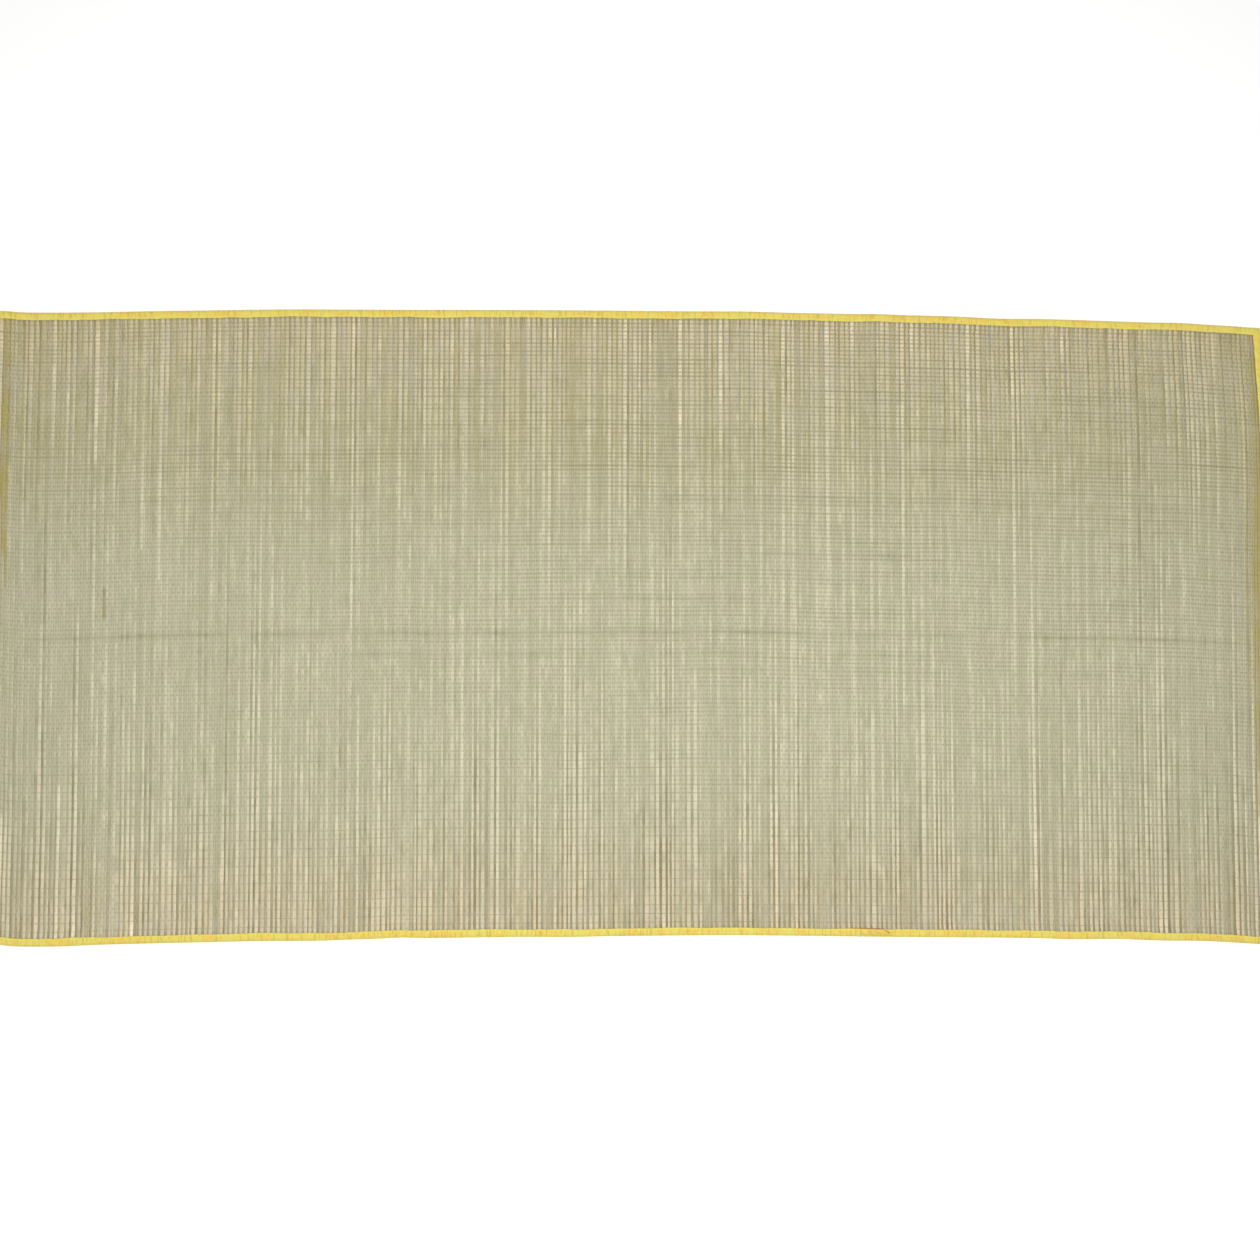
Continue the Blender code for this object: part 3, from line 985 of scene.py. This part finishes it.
def make_tape(settings):
    """The tape, folded over all four edges, its slanted end lapped over its start."""
    random = np.random.default_rng(23)
    profile = tape_profile(settings.thickness)
    rings = []
    travelled = []
    total = 0.0
    for number, (run, start, end) in enumerate(tape_lengths()):
        places = stepped(start, end, settings.step)
        lift = 0.0
        if number > 0:
            rings.append(tape_rings(run, [0.0], profile, random))
            travelled.append([total])
            total += GRIP_END
        if number == 4:
            lift = LAP_LIFT * smooth((places - (end - LAP_RISE_LENGTH)) / LAP_RISE_LENGTH)[:, None]
            lift = lift * (profile[:, 2] > FOLD_OUTER)
        rings.append(tape_rings(run, places, profile, random, lift))
        travelled.append(total + places - places[0])
        total += end - start + (GRIP_END if number < 4 else 0.0)
    rings = np.concatenate(rings)[None]
    travelled = np.concatenate(travelled)
    sides = np.linalg.norm(np.diff(rings[0, 3], axis=0), axis=1)
    girth = np.concatenate([[0.0], np.cumsum(sides)])
    return tape_mesh("tape_folded", rings, profile, travelled, girth), total


def tape_mesh(name, rings, profile, travelled, girth):
    """A mesh of tape, mapped by how far each point is along the cloth and round its ring."""
    mesh = swept_mesh(name, rings)
    map_points(mesh, "cloth", travelled[None, :, None], girth, travelled)
    point_values(mesh, "inward", np.broadcast_to(profile[:, 3], rings.shape[:3]))
    return mesh


def make_lap(settings, travelled):
    """The loose end of the tape, flat on its start and cut on a slant.

    travelled is how much of the tape runs before it.
    """
    random = np.random.default_rng(29)
    thickness = settings.thickness
    low = 2 * FOLD_OUTER - thickness
    # share of the leg, offset in, height, how far inward
    profile = np.array((
        (0.99, 0.0, low + 0.15 * thickness, 1.0),
        (0.97, 0.0, low + 0.90 * thickness, 0.97),
        (0.82, 0.0, low + 0.80 * thickness, 0.82),
        (0.55, 0.0, low + 1.00 * thickness, 0.5),
        (0.20, 0.3 * MM, low + 0.85 * thickness, 0.2),
        (0.20, 0.0, low + 0.10 * thickness, 0.2),
        (0.60, 0.0, low, 0.6),
    ))
    start = HALF_LENGTH + LAP_START - 1.2 * MM
    places = np.append(start, stepped(start + 0.8 * MM, start + LAP_LENGTH, settings.step))
    slant = (LAP_SLANT * (places - start) / LAP_LENGTH)[:, None]
    # Its very start dips below the tape that it comes out of.
    dip = np.where(places == start, 0.4 * MM, -0.02 * MM)[:, None]
    rings = tape_rings(0, places, profile, random, LAP_LIFT - dip, slant)[None]
    girth = (1 - profile[:, 0]) * TAPE_LEG
    return tape_mesh("tape_lap", rings, profile, places - start + travelled, girth)


def join_meshes(name, meshes):
    """One mesh made of several."""
    bpy.ops.object.select_all(action="DESELECT")
    made = []
    for mesh in meshes:
        obj = bpy.data.objects.new(mesh.name, mesh)
        bpy.context.collection.objects.link(obj)
        obj.select_set(True)
        made.append(obj)
    bpy.context.view_layer.objects.active = made[0]
    bpy.ops.object.join()
    joined = made[0].data
    bpy.data.objects.remove(made[0])
    joined.name = name
    return joined


def make_stitches(settings):
    """The seam: one short, plump stitch after another, near the tape's inner edge."""
    random = np.random.default_rng(31)
    rings = []
    radius = settings.stitch_radius
    length = settings.stitch_length
    for number, (run, start, end) in enumerate(tape_lengths()):
        places = stepped(start + length, end - length, length)
        lap = (number == 0) & (places < HALF_LENGTH + LAP_START + LAP_LENGTH)
        rise = (number == 4) * smooth((places - (end - LAP_RISE_LENGTH)) / LAP_RISE_LENGTH)
        level = 2 * FOLD_OUTER - 0.12 * MM + LAP_LIFT * np.maximum(lap, rise)
        inset = tape_leg(run, places) - settings.stitch_inset
        inset = inset + 0.12 * MM * random.standard_normal(len(places))
        stitch = []
        for share, girth, sink in STITCH_RINGS:
            ring = []
            for turn in (0.0, 2 * math.pi / 3, 4 * math.pi / 3):
                step_on = places + share * length
                step_in = inset + girth * radius * math.sin(turn)
                height = level - sink * radius + girth * radius * math.cos(turn)
                ring.append(placed(*on_edge(run, step_on, step_in), height))
            stitch.append(np.stack(ring, axis=1))
        rings.append(np.stack(stitch, axis=1))
    return np.concatenate(rings)


def thread_tube(route, radius):
    """A round thread along a route."""
    route = np.array(route)
    steps = np.linspace(0, len(route) - 1.001, 8 * len(route))
    first = steps.astype(int)
    share = smooth(steps - first)[:, None]
    line = route[first] * (1 - share) + route[first + 1] * share
    ring = []
    for k in range(6):
        turn = 2 * math.pi * k / 6
        ring.append(placed(
            line[:, 0], -HALF_WIDTH + line[:, 1] + radius * math.cos(turn),
            line[:, 2] + radius * math.sin(turn) - radius))
    return np.stack(ring, axis=1)[None]


# ------------ operators

class STRAWMAT_OT_straws(bpy.types.Operator):
    """Lays the straws of the mat side by side, pressed up and down by the threads"""

    bl_idname = "straw_mat.straws"
    bl_label = "Lay straws"

    def execute(self, context):
        for piece, share in make_straws(context.scene.straw_mat_weave):
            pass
        return {"FINISHED"}


class STRAWMAT_OT_threads(bpy.types.Operator):
    """Weaves the cotton threads over and under the straws"""

    bl_idname = "straw_mat.threads"
    bl_label = "Weave threads"

    def execute(self, context):
        make_threads(context.scene.straw_mat_weave)
        return {"FINISHED"}


class STRAWMAT_OT_tape(bpy.types.Operator):
    """Folds the cloth tape over the edges of the mat and laps its end"""

    bl_idname = "straw_mat.tape"
    bl_label = "Fold tape"

    def execute(self, context):
        settings = context.scene.straw_mat_tape
        folded, length = make_tape(settings)
        lap = make_lap(settings, length)
        joined = join_meshes("edge_tape_cloth", [folded, lap])
        piece = add_piece("edge_tape_cloth", joined, dyed_tape(settings))
        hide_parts("edge_tape")
        return {"FINISHED"}


class STRAWMAT_OT_seam(bpy.types.Operator):
    """Sews the seam along the tape's inner edge, closes the lap and leaves a red thread by it"""

    bl_idname = "straw_mat.seam"
    bl_label = "Sew seam"

    def execute(self, context):
        settings = context.scene.straw_mat_tape
        red = thread_tube(RED_ROUTE, RED_RADIUS)
        closing = thread_tube(CLOSING_ROUTE, CLOSING_RADIUS)
        for name, rings, cotton, colour, shade_and_soil_factor in (
            ("seam_stitches", make_stitches(settings), "sewing_cotton", settings.sewing, 0.7),
            ("red_thread", red, "red_cotton", settings.loose, 0.6),
            ("closing_thread", closing, "olive_cotton", settings.closing, 0.6),
        ):
            material = cotton_thread(cotton, colour, shade_and_soil_factor)
            add_piece(name, swept_mesh(name, rings), material)
        return {"FINISHED"}


class STRAWMAT_OT_stage(bpy.types.Operator):
    """Sets up the pale floor, the soft light and the camera above the mat"""

    bl_idname = "straw_mat.stage"
    bl_label = "Set stage"

    def execute(self, context):
        settings = context.scene.straw_mat_stage
        bpy.ops.mesh.primitive_plane_add(size=24.0, location=(0.0, 0.0, 0.0))
        floor = context.object
        floor.name = "floor"
        floor.data.materials.append(matt_floor(settings.floor))
        bpy.ops.object.light_add(type="AREA", location=(0.0, -0.25, 2.5))
        lamp = context.object
        lamp.name = "soft_lamp"
        lamp.data.shape = "RECTANGLE"
        lamp.data.size = 1.9
        lamp.data.size_y = 1.5
        lamp.data.energy = settings.lamp
        world = bpy.data.worlds.new("studio")
        world.use_nodes = True
        sky = world.node_tree.nodes["Background"].inputs
        sky["Color"].default_value = (1.0, 1.0, 1.0, 1.0)
        sky["Strength"].default_value = settings.sky
        context.scene.world = world
        turn = Euler(settings.camera_turn, "ZXY").to_matrix().to_euler("XYZ")
        bpy.ops.object.camera_add(location=settings.camera_place, rotation=turn)
        camera = context.object
        camera.name = "camera"
        camera.data.lens = settings.lens
        camera.data.sensor_width = 36.0
        context.scene.camera = camera
        context.scene.view_settings.view_transform = "Standard"
        return {"FINISHED"}


class STRAWMAT_PT_panel(bpy.types.Panel):
    """Straw mat"""

    bl_idname = "STRAWMAT_PT_panel"
    bl_label = "Straw Mat"
    bl_space_type = "VIEW_3D"
    bl_region_type = "UI"
    bl_category = "Straw Mat"

    def draw(self, context):
        layout = self.layout
        for operator in OPERATORS:
            layout.operator(operator.bl_idname)
        for name in SETTINGS:
            settings = getattr(context.scene, name)
            box = layout.box()
            for key in settings.__annotations__:
                box.prop(settings, key)


OPERATORS = (
    STRAWMAT_OT_straws,
    STRAWMAT_OT_threads,
    STRAWMAT_OT_tape,
    STRAWMAT_OT_seam,
    STRAWMAT_OT_stage,
)
SETTINGS = {
    "straw_mat_weave": StrawMatWeave,
    "straw_mat_tape": StrawMatTape,
    "straw_mat_stage": StrawMatStage,
}


def register():
    for group in (*SETTINGS.values(), *OPERATORS, STRAWMAT_PT_panel):
        bpy.utils.register_class(group)
    for name, group in SETTINGS.items():
        setattr(bpy.types.Scene, name, bpy.props.PointerProperty(type=group))


def unregister():
    for name in SETTINGS:
        delattr(bpy.types.Scene, name)
    for group in reversed((*SETTINGS.values(), *OPERATORS, STRAWMAT_PT_panel)):
        bpy.utils.unregister_class(group)


def main():
    register()
    bpy.ops.straw_mat.straws()
    bpy.ops.straw_mat.threads()
    bpy.ops.straw_mat.tape()
    bpy.ops.straw_mat.seam()
    bpy.ops.straw_mat.stage()


if __name__ == "__main__":
    main()
